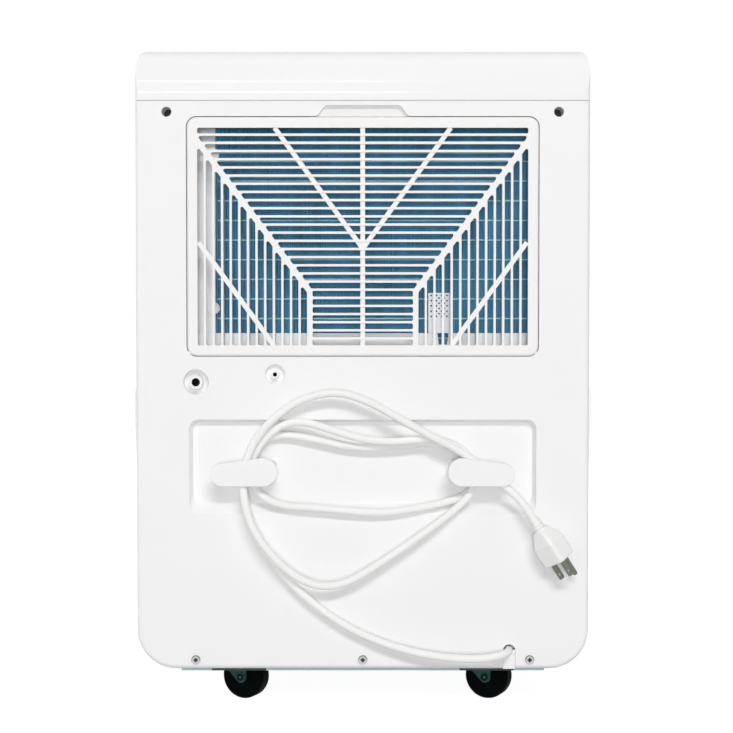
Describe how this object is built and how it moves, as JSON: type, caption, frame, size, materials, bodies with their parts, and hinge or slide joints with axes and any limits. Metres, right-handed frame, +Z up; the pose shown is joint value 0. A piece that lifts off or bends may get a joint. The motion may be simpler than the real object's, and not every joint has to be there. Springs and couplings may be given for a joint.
{
  "type": "portable dehumidifier",
  "caption": "White room dehumidifier on casters with a slide-out water bucket, a tip-out filter grille and cord hooks at the rear holding a wound cord with plug.",
  "frame": {"origin": "on the floor under the middle of the housing", "axes": "+Z up, -Y towards the front with the water bucket, +Y out of the rear panel, +X to the left as seen from behind"},
  "size_m": [0.441, 0.3202, 0.6294],
  "materials": {
    "gloss_white": "glossy",
    "satin_white": "satin",
    "panel_dark": "glossy",
    "button_grey": "satin",
    "display": "polished",
    "clear_window": "polished",
    "circuit": "matte",
    "inner_grey": "matte",
    "cup_dark": "matte",
    "fork_grey": "satin",
    "wheel_black": "matte",
    "screw_steel": "satin",
    "fin_blue": "satin",
    "fin_bare": "satin",
    "copper": "satin",
    "galvanised": "satin",
    "black_paint": "satin",
    "mount_rubber": "matte",
    "bucket_grey": "satin",
    "foam_white": "matte",
    "capacitor": "satin",
    "cord_white": "satin",
    "pin_metal": "polished"
  },
  "bodies": {
    "housing": {"top_cover": "gloss_white", "front_cover": "satin_white", "rear_cover": "satin_white", "side_grip_left": "satin_white", "side_grip_right": "satin_white", "drain_nozzle": "satin_white", "pump_nozzle": "satin_white", "cord_hooks": "satin_white", "cord_clamp": "satin_white", "cover_screws": "screw_steel", "base_pan": "inner_grey", "caster_cups": "cup_dark", "bucket_wall": "inner_grey", "mid_deck": "inner_grey", "drip_tray": "satin_white", "evaporator_fins": "fin_blue", "evaporator_tubes": "copper", "condenser_fins": "fin_bare", "condenser_tubes": "copper", "coil_brackets": "galvanised", "sensor_housing": "satin_white", "fan_housing": "inner_grey", "fan_motor": "galvanised", "compressor": "black_paint", "compressor_mounts": "mount_rubber", "compressor_bolts": "screw_steel", "suction_pipe": "copper", "discharge_pipe": "copper", "capillary_tube": "copper", "condensate_pump": "cup_dark", "electrical_box": "inner_grey", "run_capacitor": "capacitor", "bucket_switch": "cup_dark", "control_panel": "panel_dark", "display_window": "display", "control_board": "circuit", "air_outlet_grille": "button_grey", "plug_body": "cord_white", "plug_pins": "pin_metal", "power_cord": "cord_white"},
    "filter": {"filter_grille": "satin_white"},
    "bucket": {"water_bucket": "bucket_grey", "bucket_lid": "bucket_grey", "level_window": "clear_window"},
    "float": {"bucket_float": "foam_white"},
    "fan": {"fan_wheel": "panel_dark", "fan_shaft": "galvanised"},
    "caster_rear_left": {"caster_fork_rear_left": "fork_grey"},
    "wheel_rear_left": {"caster_wheel_rear_left": "wheel_black"},
    "caster_rear_right": {"caster_fork_rear_right": "fork_grey"},
    "wheel_rear_right": {"caster_wheel_rear_right": "wheel_black"},
    "caster_front_left": {"caster_fork_front_left": "fork_grey"},
    "wheel_front_left": {"caster_wheel_front_left": "wheel_black"},
    "caster_front_right": {"caster_fork_front_right": "fork_grey"},
    "wheel_front_right": {"caster_wheel_front_right": "wheel_black"},
    "button_power": {"button_power": "button_grey"},
    "button_mode": {"button_mode": "button_grey"},
    "button_fan": {"button_fan": "button_grey"},
    "button_down": {"button_down": "button_grey"},
    "button_up": {"button_up": "button_grey"}
  },
  "joints": [
    {"name": "filter_tilt", "type": "hinge", "parent": "housing", "child": "filter", "pos_m": [0, 0.131, 0.3402], "axis": [-1, 0, 0], "range_deg": [0, 35]},
    {"name": "bucket_slide", "type": "slide", "parent": "housing", "child": "bucket", "axis": [0, -1, 0], "range_m": [0, 0.16]},
    {"name": "float_swing", "type": "hinge", "parent": "bucket", "child": "float", "pos_m": [0, -0.0452, 0.275], "axis": [-1, 0, 0], "range_deg": [0, 25]},
    {"name": "fan_spin", "type": "hinge", "parent": "housing", "child": "fan", "pos_m": [0, 0.02, 0.441], "axis": [0, 1, 0], "continuous": true},
    {"name": "rear_left_swivel", "type": "hinge", "parent": "housing", "child": "caster_rear_left", "pos_m": [0.1195, 0.092, 0.04], "axis": [0, 0, 1], "continuous": true},
    {"name": "rear_left_roll", "type": "hinge", "parent": "caster_rear_left", "child": "wheel_rear_left", "pos_m": [0.11493, 0.09403, 0.022], "axis": [0.4067, 0.9135, 0], "continuous": true},
    {"name": "rear_right_swivel", "type": "hinge", "parent": "housing", "child": "caster_rear_right", "pos_m": [-0.1195, 0.092, 0.04], "axis": [0, 0, 1], "continuous": true},
    {"name": "rear_right_roll", "type": "hinge", "parent": "caster_rear_right", "child": "wheel_rear_right", "pos_m": [-0.12407, 0.09403, 0.022], "axis": [0.4067, 0.9135, 0], "continuous": true},
    {"name": "front_left_swivel", "type": "hinge", "parent": "housing", "child": "caster_front_left", "pos_m": [0.1195, -0.105, 0.04], "axis": [0, 0, 1], "continuous": true},
    {"name": "front_left_roll", "type": "hinge", "parent": "caster_front_left", "child": "wheel_front_left", "pos_m": [0.11493, -0.10297, 0.022], "axis": [0.4067, 0.9135, 0], "continuous": true},
    {"name": "front_right_swivel", "type": "hinge", "parent": "housing", "child": "caster_front_right", "pos_m": [-0.1195, -0.105, 0.04], "axis": [0, 0, 1], "continuous": true},
    {"name": "front_right_roll", "type": "hinge", "parent": "caster_front_right", "child": "wheel_front_right", "pos_m": [-0.12407, -0.10297, 0.022], "axis": [0.4067, 0.9135, 0], "continuous": true},
    {"name": "power_press", "type": "slide", "parent": "housing", "child": "button_power", "axis": [0, 0, -1], "range_m": [0, 0.0015], "stiffness_N_per_m": 400},
    {"name": "mode_press", "type": "slide", "parent": "housing", "child": "button_mode", "axis": [0, 0, -1], "range_m": [0, 0.0015], "stiffness_N_per_m": 400},
    {"name": "fan_press", "type": "slide", "parent": "housing", "child": "button_fan", "axis": [0, 0, -1], "range_m": [0, 0.0015], "stiffness_N_per_m": 400},
    {"name": "down_press", "type": "slide", "parent": "housing", "child": "button_down", "axis": [0, 0, -1], "range_m": [0, 0.0015], "stiffness_N_per_m": 400},
    {"name": "up_press", "type": "slide", "parent": "housing", "child": "button_up", "axis": [0, 0, -1], "range_m": [0, 0.0015], "stiffness_N_per_m": 400}
  ]
}
